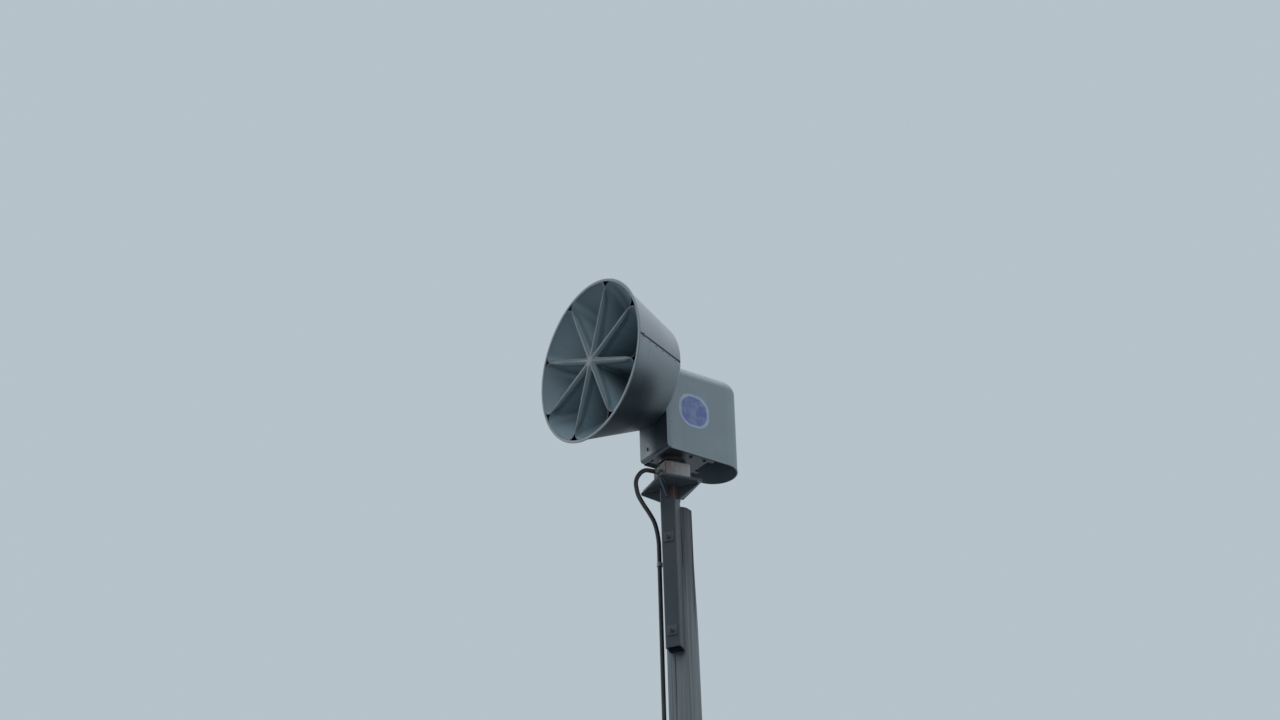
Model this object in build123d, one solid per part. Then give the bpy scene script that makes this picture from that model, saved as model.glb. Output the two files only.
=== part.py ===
from build123d import *
import math
import os

# Rotating warning siren on a wooden pole, whole, from the ground line to the top of the horn.
# Millimetres, +Z up, origin at the centre of the pole's foot. The horn faces -Y at rest.

# Wooden pole: 15.2 m long with 2.1 m of it below ground.
pole_height = 13100
pole_foot_radius = 150
pole_top_radius = 82
pole_top_round = 14
gain_depth = 4

# Steel bracket bolted to the side of the pole. Its front looks this far round from -Y towards +X.
bracket_turn = 34
post_side = 87
post_wall = 6.4
post_corner = 10
post_length = 957
post_below_gain = 20
plate_side = 240
plate_thickness = 13
plate_turn = 45
gusset_reach = 118
gusset_drop = 76
gusset_toe = 14
gusset_thickness = 8
bolt_radius = 8
bolt_hole_radius = 9
bolt_drops = (314, 865)
washer_side = 57
washer_thickness = 5
nut_height = 13
nut_across_flats = 24
bolt_tail = 22

# Pedestal and swivel between the bracket and the head. They stand this far to the right of the post.
swivel_offset = 17
pedestal_side = 150
pedestal_height = 100
pedestal_wall = 5
pedestal_roof = 8
pedestal_corner = 8
spindle_radius = 30
spindle_play = 0.5
spindle_cap_radius = 48
spindle_cap_height = 10
bearing_radius = 68
bearing_height = 18
bearing_play = 0.5
bearing_bore_play = 3
turntable_radius = 78
turntable_rim = 14
turntable_hub_radius = 55
turntable_height = 39.5

# Head. Heights here count from the horn's axis, lengths from the swivel axis.
axis_above_pole = 704
axis_above_plate = 608
mouth_ahead = 525
horn_radius = 449
horn_depth = 408
horn_half_angle = 22.5
horn_shoulder = 42
horn_wall = 4
horn_eye_play = 0.6
lip_reach = 10
lip_depth = 6
lip_bead = 4
lip_lap = 3
seam_drop = 28
seam_height = 9
seam_start = 27
seam_stop = 36
seam_inset = 1.5
clip_length = 36
clip_width = 22
clip_thickness = 6
clip_corner = 4
clip_gap = 0.6

# Fluted throats, eight round the horn's axis.
flute_count = 8
flute_wall = 4
flute_mouth_wall = 2
flute_gap = 0.6
flute_rim_gap = 0.8
flute_depth = 340
port_inner_radius = 100
port_outer_radius = 176
port_side_gap = 20
port_inner_corner = 14
port_outer_corner = 16
hub_radius = 12.6
hub_nose = 9

# Stator and chopper rotor behind the flutes.
stator_radius = 225
stator_thickness = 10
stator_wall = 4
rotor_radius = 200
rotor_gap = 4
rotor_thickness = 36
rotor_rim = 8
rotor_hub_radius = 36
shaft_radius = 12
shaft_play = 1

# Housing behind the horn.
housing_width = 250
housing_length = 530
housing_top = 74
housing_bottom = -459
housing_round = 66
housing_wall = 3.5
front_wall_depth = 24
front_wall_round = 11
front_wall_thickness = 4

# Frame and drives inside the housing.
base_side_gap = 22
base_back = 190
base_thickness = 8
rail_width = 25
rail_inset = 13
rail_height = 50
rail_back = 230
rail_wall = 4
motor_radius = 56
motor_front = -60
motor_length = 310
motor_play = 0.3
motor_round = 12
saddle_places = (0, 180)
saddle_thickness = 8
saddle_width = 150
saddle_top = -20
gearbox_length = 90
gearbox_side_gap = 16.5
gearbox_height = 80
gearbox_front = 75
gearbox_round = 10
slew_motor_radius = 38
slew_motor_height = 142
slew_motor_round = 8

# Feed cable, its fittings and the riser pipe at the pole's foot.
cable_radius = 12
cable_side_turn = -36.7
cable_standoff = 13
gland_radius = 19
gland_length = 30
gland_dome_step = 3
gland_drop = 38
clip_spacing = 1250
clip_count = 9
clip_first_drop = 320
clip_ring = 3
clip_height = 22
clip_play = 0.3
riser_radius = 30
riser_wall = 3.9
riser_height = 2400
riser_gap = 0.3
bushing_height = 44
bushing_rim = 5
cable_in_riser = 160
strap_heights = (400, 1250, 2100)
strap_height = 30
strap_thickness = 3
strap_wing = 26

horn_eye_radius = stator_radius + horn_eye_play
horn_slope = math.tan(math.radians(horn_half_angle))
lip_inner_radius = horn_radius - flute_mouth_wall - lip_lap
horn_axis_z = pole_height + axis_above_pole
plate_top_z = horn_axis_z - axis_above_plate
post_top_z = plate_top_z - plate_thickness
post_bottom_z = post_top_z - post_length
pole_taper = (pole_foot_radius - pole_top_radius) / pole_height
gain_distance = pole_top_radius - gain_depth
post_distance = gain_distance + post_side / 2


def pole_radius(z):
    return pole_foot_radius - pole_taper * z


def heading(turn):
    """Unit vector on the ground that looks `turn` degrees round from -Y towards +X."""
    angle = math.radians(turn)
    return Vector(math.sin(angle), -math.cos(angle), 0)


post_axis = heading(bracket_turn) * post_distance
swivel_axis = post_axis + heading(bracket_turn + 90) * swivel_offset
bracket_place = Location((post_axis.X, post_axis.Y, 0), (0, 0, bracket_turn))
plate_place = Location((swivel_axis.X, swivel_axis.Y, 0), (0, 0, bracket_turn + plate_turn))
head_place = Location((swivel_axis.X, swivel_axis.Y, horn_axis_z))
horn_place = head_place * Location((0, -mouth_ahead, 0))
up_from_bottom = (Align.CENTER, Align.CENTER, Align.MIN)


def write(name, piece):
    """One STEP file for each named piece, or for a list of like pieces."""
    shape = Compound(children=piece) if isinstance(piece, list) else piece
    export_step(shape, f"parts/{name}.step")


# Wooden pole with a flat gain where the post seats and two holes for the through bolts.
def wood_pole():
    shoulder = (pole_top_radius, pole_height - pole_top_round)
    crown = (pole_top_radius - pole_top_round, pole_height)
    with BuildPart() as pole:
        with BuildSketch(Plane.XZ):
            with BuildLine():
                Polyline(shoulder, (pole_foot_radius, 0), (0, 0), (0, pole_height), crown)
                RadiusArc(crown, shoulder, pole_top_round)
            make_face()
        revolve(axis=Axis.Z)
    seat_bottom = post_bottom_z - post_below_gain
    gain = Box(pole_foot_radius, 2 * pole_foot_radius, pole_height - seat_bottom + 1,
               align=(Align.MIN, Align.CENTER, Align.MIN))
    gain = Location((0, 0, seat_bottom), (0, 0, bracket_turn - 90)) * Location((gain_distance, 0, 0)) * gain
    return pole.part - gain - bolt_holes()


def bolt_holes():
    hole = Cylinder(bolt_hole_radius, 4 * pole_foot_radius)
    return [bracket_place * Location((0, 0, post_top_z - drop), (90, 0, 0)) * hole for drop in bolt_drops]


# Square tube post, open at its lower end.
def bracket_post():
    outer = RectangleRounded(post_side, post_side, post_corner)
    bore_side = post_side - 2 * post_wall
    inner = RectangleRounded(bore_side, bore_side, post_corner - post_wall)
    tube = extrude(outer - inner, post_length)
    return bracket_place * Location((0, 0, post_bottom_z)) * tube - bolt_holes()


def top_plate():
    plate = Box(plate_side, plate_side, plate_thickness, align=up_from_bottom)
    return plate_place * Location((0, 0, post_top_z)) * plate


# One triangular gusset from the middle of a post face out towards a corner of the plate.
def gusset(quarter):
    outline = Polygon((0, 0), (gusset_reach, 0), (gusset_reach, -gusset_toe), (gusset_toe, -gusset_drop),
                      (0, -gusset_drop), align=None)
    web = extrude(Plane.XZ * outline, gusset_thickness / 2, both=True)
    seat = Location((post_side / 2, 0, post_top_z))
    return bracket_place * Location((0, 0, 0), (0, 0, 90 * quarter)) * seat * web


# Through bolt with a square washer and a nut at each end.
def through_bolt(drop):
    front = -post_side / 2 - washer_thickness
    back = post_side / 2 + gain_distance + pole_radius(post_top_z - drop) + 0.3 + washer_thickness
    length = back - front + 2 * (nut_height + bolt_tail)
    rod = Cylinder(bolt_radius, length)
    nut = extrude(RegularPolygon(nut_across_flats / 2, 6, major_radius=False), nut_height)
    plate = Box(washer_side, washer_side, washer_thickness, align=up_from_bottom)
    out = Location((0, 0, 0), (90, 0, 0))
    middle = (front + back) / 2
    bolt = Location((0, middle, 0)) * out * rod
    bolt += Location((0, front, 0), (90, 0, 0)) * nut
    bolt += Location((0, front, 0), (-90, 0, 0)) * plate
    bolt += Location((0, back, 0), (-90, 0, 0)) * nut
    bolt += Location((0, back, 0), (90, 0, 0)) * plate
    return bracket_place * Location((0, 0, post_top_z - drop)) * bolt


# Sheet steel pedestal box that carries the swivel.
def pedestal():
    outer = extrude(RectangleRounded(pedestal_side, pedestal_side, pedestal_corner), pedestal_height)
    bore_side = pedestal_side - 2 * pedestal_wall
    inner = extrude(RectangleRounded(bore_side, bore_side, pedestal_corner - pedestal_wall),
                    pedestal_height - pedestal_roof)
    eye = Cylinder(spindle_radius + spindle_play, pedestal_height, align=up_from_bottom)
    return plate_place * Location((0, 0, plate_top_z)) * (outer - inner - eye)


def spindle():
    foot = plate_top_z - horn_axis_z
    collar = base_top + bearing_play
    shaft = Cylinder(spindle_radius, collar - foot, align=up_from_bottom)
    cap = Cylinder(spindle_cap_radius, spindle_cap_height, align=up_from_bottom)
    cap = Location((0, 0, collar - foot)) * cap
    return head_place * Location((0, 0, foot)) * (shaft + cap)


def bearing_ring():
    seat = -axis_above_plate + pedestal_height
    ring = Cylinder(bearing_radius, bearing_height, align=up_from_bottom)
    ring -= Cylinder(spindle_radius + bearing_bore_play, bearing_height, align=up_from_bottom)
    return head_place * Location((0, 0, seat)) * ring


turntable_bottom = -axis_above_plate + pedestal_height + bearing_height + bearing_play
base_bottom = turntable_bottom + turntable_height
base_top = base_bottom + base_thickness


def turntable():
    disc = Cylinder(turntable_radius, turntable_rim, align=up_from_bottom)
    disc += Cylinder(turntable_hub_radius, turntable_height, align=up_from_bottom)
    disc -= Cylinder(spindle_radius + spindle_play, turntable_height, align=up_from_bottom)
    return head_place * Location((0, 0, turntable_bottom)) * disc


# Outer profile of the horn: a cone, a round shoulder and a flat back with an eye.
def horn_wall_ring(inset, wall):
    stretch = 1 / math.cos(math.radians(horn_half_angle))

    def path(depth_in):
        back = horn_depth - depth_in
        front_radius = horn_radius - depth_in * stretch
        corner_radius = front_radius - (back - lip_depth) * horn_slope
        points = [(lip_depth, front_radius), (back, corner_radius), (back, horn_eye_radius)]
        return FilletPolyline(*points, radius=horn_shoulder - depth_in)

    with BuildPart() as ring:
        with BuildSketch(Plane.YZ):
            with BuildLine():
                outer = path(inset)
                inner = path(inset + wall)
                Line(outer @ 0, inner @ 0)
                Line(outer @ 1, inner @ 1)
            make_face()
        revolve(axis=Axis.Y)
    return ring.part


def horn_shells():
    ring = horn_wall_ring(0, horn_wall)
    size = 3 * horn_radius
    slab = Box(size, size, size, align=up_from_bottom)
    upper = ring & Location((0, 0, seam_height / 2 - seam_drop)) * slab
    lower = ring & Location((0, 0, -seam_height / 2 - seam_drop), (180, 0, 0)) * slab
    return horn_place * upper, horn_place * lower


# Dark gasket strip that fills the seam between the two shells, one on each side.
def seam_gasket(side):
    ring = horn_wall_ring(seam_inset, horn_wall - seam_inset)
    length = horn_depth - seam_stop - seam_start
    strip = Box(horn_radius, length, seam_height, align=(Align.MIN, Align.MIN, Align.CENTER))
    gasket = ring & Location((horn_eye_radius, seam_start, -seam_drop)) * strip
    if side < 0:
        gasket = mirror(gasket, Plane.YZ)
    return horn_place * gasket


def seam_clip(side):
    depth = seam_start + clip_length / 2
    radius = horn_radius - (depth - lip_depth) * horn_slope
    body = Box(clip_thickness, clip_length, clip_width, align=(Align.MIN, Align.CENTER, Align.CENTER))
    body = fillet(body.edges().filter_by(Axis.X), clip_corner)
    body = Location((radius + clip_gap, depth, -seam_drop), (0, 0, horn_half_angle)) * body
    if side < 0:
        body = mirror(body, Plane.YZ)
    return horn_place * body


# Lip: a flat flange with a rolled outer bead.
def horn_lip():
    bead_radius = horn_radius + lip_reach - lip_bead
    with BuildPart() as lip:
        with BuildSketch(Plane.YZ):
            with Locations((0, lip_inner_radius)):
                Rectangle(lip_depth, bead_radius - lip_inner_radius, align=(Align.MIN, Align.MIN))
            with Locations((lip_bead, bead_radius)):
                Circle(lip_bead)
        revolve(axis=Axis.Y)
    return horn_place * lip.part


# Section of one throat: a slice of the circle whose sides keep `side_gap` from the slice's edges.
def throat_section(depth, inner_radius, outer_radius, side_gap, inner_corner, outer_corner):
    half = math.pi / flute_count
    out_angle = half - math.asin(side_gap / outer_radius)
    in_angle = half - math.asin(side_gap / inner_radius)
    out_x, out_y = outer_radius * math.cos(out_angle), outer_radius * math.sin(out_angle)
    in_x, in_y = inner_radius * math.cos(in_angle), inner_radius * math.sin(in_angle)
    plane = Plane(origin=(0, depth, 0), x_dir=(0, 0, 1), z_dir=(0, 1, 0))
    with BuildSketch(plane) as sketch:
        with BuildLine():
            Line((in_x, -in_y), (out_x, -out_y))
            ThreePointArc((out_x, -out_y), (outer_radius, 0), (out_x, out_y))
            Line((out_x, out_y), (in_x, in_y))
            Line((in_x, in_y), (in_x, -in_y))
        make_face()
        fillet(sketch.vertices().group_by(Axis.X)[0], inner_corner)
        fillet([v for v in sketch.vertices() if math.hypot(v.X, v.Y) > outer_radius - 0.01], outer_corner)
    return sketch.sketch


# Each throat flares from a port at the stator to its slice of the mouth.
def throat_sections(wall, mouth_wall, overrun):
    rim = lip_inner_radius - flute_rim_gap
    rows = [
        (-overrun, 14, rim, flute_gap, 4, 46, mouth_wall),
        (32, 45, rim - 14, 11, 9, 44, wall),
        (150, 75, 0.75 * rim, 21, 11, 34, wall),
        (flute_depth + overrun, port_inner_radius, port_outer_radius, port_side_gap,
         port_inner_corner, port_outer_corner, wall),
    ]
    faces = []
    for depth, inner, outer, gap, inner_corner, outer_corner, skin in rows:
        faces.append(throat_section(depth, inner + skin, outer - skin, gap + skin,
                                    inner_corner - skin, outer_corner - skin))
    return faces


def flute(number):
    skin = loft(throat_sections(0, 0, 0))
    air = loft(throat_sections(flute_wall, flute_mouth_wall, 1))
    turn = Location((0, 0, 0), (0, 360 / flute_count * number, 0))
    return horn_place * turn * (skin - air)


def hub_rod():
    rod = Cylinder(hub_radius, flute_depth - hub_nose, align=up_from_bottom)
    nose = Sphere(hub_radius) & Cylinder(hub_radius, 2 * hub_radius, align=up_from_bottom)
    nose = Location((0, 0, flute_depth - hub_nose)) * nose
    return horn_place * Location((0, flute_depth, 0), (90, 0, 0)) * (rod + nose)


def port_cutters(depth, length):
    wall = flute_wall
    face = throat_section(depth, port_inner_radius + wall, port_outer_radius - wall, port_side_gap + wall,
                          port_inner_corner - wall, port_outer_corner - wall)
    cutter = extrude(face, length, dir=(0, 1, 0))
    return [Location((0, 0, 0), (0, 360 / flute_count * i, 0)) * cutter for i in range(flute_count)]


# Stator: a closed drum with a ported front, bolted to the front wall. The shaft runs through its back.
def stator():
    back = horn_depth
    face_back = flute_depth + stator_thickness
    bore = stator_radius - stator_wall
    eye = shaft_radius + shaft_play
    with BuildPart() as drum:
        with BuildSketch(Plane.YZ):
            with BuildLine():
                Polyline((flute_depth, 0), (flute_depth, stator_radius), (back, stator_radius), (back, eye),
                         (back - stator_wall, eye), (back - stator_wall, bore), (face_back, bore),
                         (face_back, 0), close=True)
            make_face()
        revolve(axis=Axis.Y)
    return horn_place * (drum.part - port_cutters(flute_depth - 1, stator_thickness + 2))


# Chopper rotor: ported face, rim and shaft that reaches the motor.
def rotor():
    front = flute_depth + stator_thickness + rotor_gap
    web_back = front + rotor_rim
    back = front + rotor_thickness
    bore = rotor_radius - rotor_rim
    motor_face = mouth_ahead + motor_front
    with BuildPart() as wheel:
        with BuildSketch(Plane.YZ):
            with BuildLine():
                Polyline((front, 0), (front, rotor_radius), (back, rotor_radius), (back, bore),
                         (web_back, bore), (web_back, rotor_hub_radius), (back, rotor_hub_radius),
                         (back, shaft_radius), (motor_face, shaft_radius), (motor_face, 0), close=True)
            make_face()
        revolve(axis=Axis.Y)
    half_port = Location((0, 0, 0), (0, 180 / flute_count, 0))
    cutters = [half_port * cutter for cutter in port_cutters(front - 1, rotor_rim + 2)]
    return horn_place * (wheel.part - cutters)


wall_front = horn_depth - mouth_ahead
housing_back = wall_front + housing_length


# Plan of the housing: straight sides and a half-round back.
def housing_form(inset, front):
    half = housing_width / 2 - inset
    centre = housing_back - housing_width / 2
    plan = Location((0, front)) * Rectangle(2 * half, centre - front, align=(Align.CENTER, Align.MIN))
    plan += Location((0, centre)) * Circle(half)
    height = housing_top - inset - housing_bottom
    block = extrude(plan, height)
    rim = block.edges().group_by(Axis.Z)[-1].filter_by(lambda e: e.center().Y > front + 0.5)
    block = fillet(rim, housing_round - inset)
    return Location((0, 0, housing_bottom)) * block


def hood():
    front = wall_front + front_wall_depth
    return head_place * (housing_form(0, front) - housing_form(housing_wall, front))


def front_wall():
    half = housing_width / 2
    height = housing_top - housing_bottom

    def profile(inset):
        panel = Rectangle(2 * (half - inset), height - 2 * inset)
        panel = fillet(panel.vertices().group_by(Axis.Y)[-1], housing_round - inset)
        return Location((0, (housing_top + housing_bottom) / 2)) * panel

    face = Plane(origin=(0, wall_front + front_wall_depth, 0), x_dir=(1, 0, 0), z_dir=(0, -1, 0))
    tray = extrude(face * profile(0), front_wall_depth)
    tray = fillet(tray.edges().group_by(Axis.Y)[0], front_wall_round)
    hollow = extrude(face * profile(front_wall_thickness), front_wall_depth - front_wall_thickness)
    tray -= fillet(hollow.edges().group_by(Axis.Y)[0], front_wall_round - front_wall_thickness)
    eye = Location((0, wall_front, 0), (90, 0, 0)) * Cylinder(shaft_radius + shaft_play, 4 * front_wall_depth)
    return head_place * (tray - eye)


base_width = housing_width - 2 * (housing_wall + base_side_gap)
base_front = wall_front + front_wall_depth
rail_offset = base_width / 2 - rail_inset - rail_width / 2
gearbox_width = 2 * (rail_offset - rail_width / 2 - gearbox_side_gap)
rail_front = wall_front + front_wall_thickness


def base_plate():
    length = base_back - base_front
    plate = Box(base_width, length, base_thickness, align=(Align.CENTER, Align.MIN, Align.MIN))
    plate = Location((0, base_front, base_bottom)) * plate
    eye = Location((0, 0, base_bottom)) * Cylinder(spindle_radius + spindle_play, 4 * base_thickness)
    return head_place * (plate - eye)


# Channel rail, open towards the middle.
def rail(side):
    length = rail_back - rail_front
    from_front = (Align.CENTER, Align.MIN, Align.MIN)
    bar = Box(rail_width, length, rail_height, align=from_front)
    slot = Box(rail_width, length, rail_height - 2 * rail_wall, align=from_front)
    slot = Location((-rail_wall, 0, rail_wall)) * slot
    channel = Location((rail_offset, rail_front, base_top)) * (bar - slot)
    if side < 0:
        channel = mirror(channel, Plane.YZ)
    return head_place * channel


def motor():
    body = Cylinder(motor_radius, motor_length, align=up_from_bottom)
    body = fillet(body.edges().group_by(Axis.Z)[0] + body.edges().group_by(Axis.Z)[-1], motor_round)
    return head_place * Location((0, motor_front + motor_length, 0), (90, 0, 0)) * body


def saddle(place):
    bottom = base_top + rail_height
    from_front = (Align.CENTER, Align.MIN, Align.MIN)
    plate = Box(saddle_width, saddle_thickness, saddle_top - bottom, align=from_front)
    plate = Location((0, place, bottom)) * plate
    cradle = Location((0, place, 0), (90, 0, 0)) * Cylinder(motor_radius + motor_play, 6 * saddle_thickness)
    return head_place * (plate - cradle)


def gearbox():
    box = Box(gearbox_width, gearbox_length, gearbox_height, align=(Align.CENTER, Align.MIN, Align.MIN))
    box = fillet(box.edges().filter_by(Axis.Z), gearbox_round)
    return head_place * Location((0, gearbox_front, base_top)) * box


def slew_motor():
    can = Cylinder(slew_motor_radius, slew_motor_height, align=up_from_bottom)
    can = fillet(can.edges().group_by(Axis.Z)[-1], slew_motor_round)
    place = (0, gearbox_front + gearbox_length / 2, base_top + gearbox_height)
    return head_place * Location(place) * can


# Feed cable: from the gland in a slack loop to the side of the pole, then down to the riser.
gland_heading = heading(bracket_turn + plate_turn - 90)
gland_z = plate_top_z + pedestal_height - gland_drop
gland_face = swivel_axis + gland_heading * (pedestal_side / 2 + gland_length) + Vector(0, 0, gland_z)


def cable_gland():
    hex_nut = extrude(RegularPolygon(gland_radius, 6, major_radius=False), gland_length / 2)
    dome = Plane.XY.offset(gland_length / 2) * Circle(gland_radius - gland_dome_step)
    dome = extrude(dome, gland_length / 2, taper=8)
    place = swivel_axis + gland_heading * (pedestal_side / 2) + Vector(0, 0, gland_z)
    out = Plane(origin=place, x_dir=(0, 0, 1), z_dir=gland_heading)
    return out.location * (hex_nut + dome)


def beside_pole(z, standoff):
    return heading(cable_side_turn) * (pole_radius(z) + standoff) + Vector(0, 0, z)


riser_standoff = riser_radius + riser_gap
cable_top = beside_pole(pole_height - 190, cable_radius + cable_standoff)
cable_bottom = beside_pole(riser_height - cable_in_riser, riser_standoff)

cable_points = [
    gland_face,
    gland_face + gland_heading * 66,
    Vector(6, -284, plate_top_z + 12),
    Vector(-14, -256, plate_top_z - 60),
    Vector(-26, -210, plate_top_z - 104),
    Vector(-40, -160, plate_top_z - 138),
    Vector(-53, -118, plate_top_z - 176),
    Vector(-61, -96, plate_top_z - 232),
    cable_top,
    cable_bottom,
]


def cable_radii():
    radii = []
    for before, corner, after in zip(cable_points, cable_points[1:], cable_points[2:]):
        arrive, leave = corner - before, after - corner
        half_turn = math.radians(arrive.get_angle(leave)) / 2
        radii.append(0.45 * min(arrive.length, leave.length) / math.tan(half_turn))
    return radii


def feed_cable():
    radii = cable_radii()
    print("cable radii", [round(radius) for radius in radii])
    path = FilletPolyline(*cable_points, radius=radii)
    print("cable length", round(path.length))
    start = Plane(origin=path @ 0, z_dir=path % 0)
    return sweep(start * Circle(cable_radius), path=path)


def along_cable(z):
    """Point on the cable's long straight run at height z, and the run's direction."""
    run = cable_top - cable_bottom
    share = (z - cable_bottom.Z) / run.Z
    return cable_bottom + run * share, run.normalized()


def cable_clip(number):
    z = pole_height - clip_first_drop - clip_spacing * number
    centre, upward = along_cable(z)
    ring = Cylinder(cable_radius + clip_play + clip_ring, clip_height)
    inward = -heading(cable_side_turn)
    distance = math.hypot(centre.X, centre.Y)
    foot_length = distance - pole_radius(z - clip_height / 2) - 0.6
    foot = Box(foot_length, clip_height * 0.7, clip_height, align=(Align.MIN, Align.CENTER, Align.CENTER))
    bore = Cylinder(cable_radius + clip_play, 2 * clip_height)
    frame = Plane(origin=centre, x_dir=inward, z_dir=upward)
    return frame.location * (ring + foot - bore)


# Steel riser pipe at the foot, with a bushing on top and straps to the pole.
def riser_frame(z):
    centre = beside_pole(z, riser_standoff)
    upward = (beside_pole(z + 1000, riser_standoff) - centre).normalized()
    return Plane(origin=centre, x_dir=-heading(cable_side_turn), z_dir=upward)


def riser_pipe():
    below = 50
    frame = riser_frame(-below)
    pipe = Cylinder(riser_radius, riser_height + below, align=up_from_bottom)
    pipe -= Cylinder(riser_radius - riser_wall, riser_height + below, align=up_from_bottom)
    ground = Box(1000, 1000, 4 * below, align=(Align.CENTER, Align.CENTER, Align.MAX))
    return frame.location * pipe - ground


def riser_bushing():
    upward = riser_frame(-50).z_dir
    seat = riser_frame(-50).origin + upward * (riser_height + 50)
    frame = Plane(origin=seat, x_dir=-heading(cable_side_turn), z_dir=upward)
    cone = Cone(riser_radius, cable_radius + bushing_rim, bushing_height, align=up_from_bottom)
    cone -= Cylinder(cable_radius + 2, 4 * bushing_height)
    return frame.location * cone


def riser_strap(z):
    reach = riser_radius + riser_gap
    band = Cylinder(reach + strap_thickness, strap_height)
    wing = Box(strap_thickness, 2 * (reach + strap_wing), strap_height)
    pole_side = Location((riser_radius - strap_thickness, 0, 0)) * wing
    strap = band + pole_side - Cylinder(reach, 2 * strap_height)
    behind = Box(80, 300, 2 * strap_height, align=(Align.MIN, Align.CENTER, Align.CENTER))
    behind = Location((riser_radius, 0, 0)) * behind
    return riser_frame(z).location * (strap - behind)


def main():
    os.makedirs("parts", exist_ok=True)
    write("wood_pole", wood_pole())
    write("bracket_post", bracket_post())
    write("top_plate", top_plate())
    for number, name in enumerate(("right", "back", "left", "front")):
        write(f"gusset_{name}", gusset(number))
    for drop, name in zip(bolt_drops, ("upper", "lower")):
        write(f"through_bolt_{name}", through_bolt(drop))
    write("pedestal", pedestal())
    write("spindle", spindle())
    write("bearing_ring", bearing_ring())
    write("cable_gland", cable_gland())
    write("feed_cable", feed_cable())
    write("cable_clips", [cable_clip(number) for number in range(clip_count)])
    write("riser_pipe", riser_pipe())
    write("riser_bushing", riser_bushing())
    write("riser_straps", [riser_strap(z) for z in strap_heights])

    write("turntable", turntable())
    write("base_plate", base_plate())
    for side, name in ((-1, "left"), (1, "right")):
        write(f"rail_{name}", rail(side))
    write("seam_gaskets", [seam_gasket(side) for side in (-1, 1)])
    write("seam_clips", [seam_clip(side) for side in (-1, 1)])
    write("front_wall", front_wall())
    write("hood", hood())
    upper, lower = horn_shells()
    write("horn_shell_upper", upper)
    write("horn_shell_lower", lower)
    write("horn_lip", horn_lip())
    for number in range(flute_count):
        write(f"flute_{number + 1}", flute(number))
    write("hub_rod", hub_rod())
    write("stator", stator())
    write("rotor", rotor())
    write("motor", motor())
    for place, name in zip(saddle_places, ("front", "rear")):
        write(f"saddle_{name}", saddle(place))
    write("gearbox", gearbox())
    write("slew_motor", slew_motor())


main()
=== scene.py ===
import math

import bmesh
import bpy
from mathutils import Matrix, Vector, noise


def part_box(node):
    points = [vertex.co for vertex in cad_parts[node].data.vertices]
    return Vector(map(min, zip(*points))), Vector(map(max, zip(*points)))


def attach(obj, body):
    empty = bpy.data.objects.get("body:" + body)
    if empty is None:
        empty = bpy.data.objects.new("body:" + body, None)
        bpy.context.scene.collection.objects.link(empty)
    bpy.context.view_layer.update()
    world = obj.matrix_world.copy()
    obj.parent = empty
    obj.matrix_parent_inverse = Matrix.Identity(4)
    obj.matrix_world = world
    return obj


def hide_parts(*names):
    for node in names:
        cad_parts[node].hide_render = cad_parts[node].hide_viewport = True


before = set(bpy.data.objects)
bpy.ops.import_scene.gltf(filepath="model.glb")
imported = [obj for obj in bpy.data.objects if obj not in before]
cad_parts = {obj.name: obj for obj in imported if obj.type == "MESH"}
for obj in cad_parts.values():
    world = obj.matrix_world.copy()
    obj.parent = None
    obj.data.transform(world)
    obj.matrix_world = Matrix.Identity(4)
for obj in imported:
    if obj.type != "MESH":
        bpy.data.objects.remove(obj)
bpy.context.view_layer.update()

# Camera. It stands at eye height about 22 m from the pole and looks up past the horn's right side.
# The horn's mouth is laid on its own place in the picture, and the picture is turned a little.
picture_width, picture_height = 1280, 720
mouth_across_px, mouth_down_px = 589.8, 360.5
focal_px = 4780
sensor_mm = 36.0
mouth_distance = 25.7
view_azimuth, view_elevation, view_roll = map(math.radians, (53.3, -28.4, 2.0))

lip_low, lip_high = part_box("horn_lip")
horn_axis_x = (lip_low.x + lip_high.x) / 2
horn_axis_z = (lip_low.z + lip_high.z) / 2
mouth_y = lip_low.y
mouth = Vector((horn_axis_x, mouth_y, horn_axis_z))

level = Vector((math.cos(view_azimuth), math.sin(view_azimuth), 0))
back = Vector((math.sin(view_azimuth) * math.cos(view_elevation),
               -math.cos(view_azimuth) * math.cos(view_elevation),
               math.sin(view_elevation)))
upright = back.cross(level)
right = level * math.cos(view_roll) - upright * math.sin(view_roll)
up = level * math.sin(view_roll) + upright * math.cos(view_roll)
across = (mouth_across_px - picture_width / 2) / focal_px * mouth_distance
above = (picture_height / 2 - mouth_down_px) / focal_px * mouth_distance
stand = mouth + back * mouth_distance - right * across - up * above

camera_data = bpy.data.cameras.new("camera")
camera_data.sensor_width = sensor_mm
camera_data.lens = focal_px * sensor_mm / picture_width
camera_data.clip_end = 400
camera = bpy.data.objects.new("camera", camera_data)
camera.matrix_world = Matrix((
    (right.x, up.x, back.x, stand.x),
    (right.y, up.y, back.y, stand.y),
    (right.z, up.z, back.z, stand.z),
    (0, 0, 0, 1)))
bpy.context.scene.collection.objects.link(camera)
bpy.context.scene.camera = camera
bpy.context.scene.view_settings.view_transform = "Standard"


# Backdrop and light. A soft dome is the main light, bright above and weak near the horizon, and the
# camera sees it as one pale tone. Two wide soft lamps add to it, one high up and one low on the left
# of the horn's mouth.
backdrop_tone = (0.47, 0.54, 0.59, 1)
dome_tone = (0.85, 0.95, 1.03, 1)


# Node trees are built with one call a node: its kind, its input values or links, and its settings.
def add_node(tree, kind, inputs=None, **settings):
    made = tree.nodes.new(kind)
    for setting, value in settings.items():
        setattr(made, setting, value)
    for key, value in (inputs or {}).items():
        if isinstance(value, bpy.types.NodeSocket):
            tree.links.new(value, made.inputs[key])
        else:
            made.inputs[key].default_value = value
    return made


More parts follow.
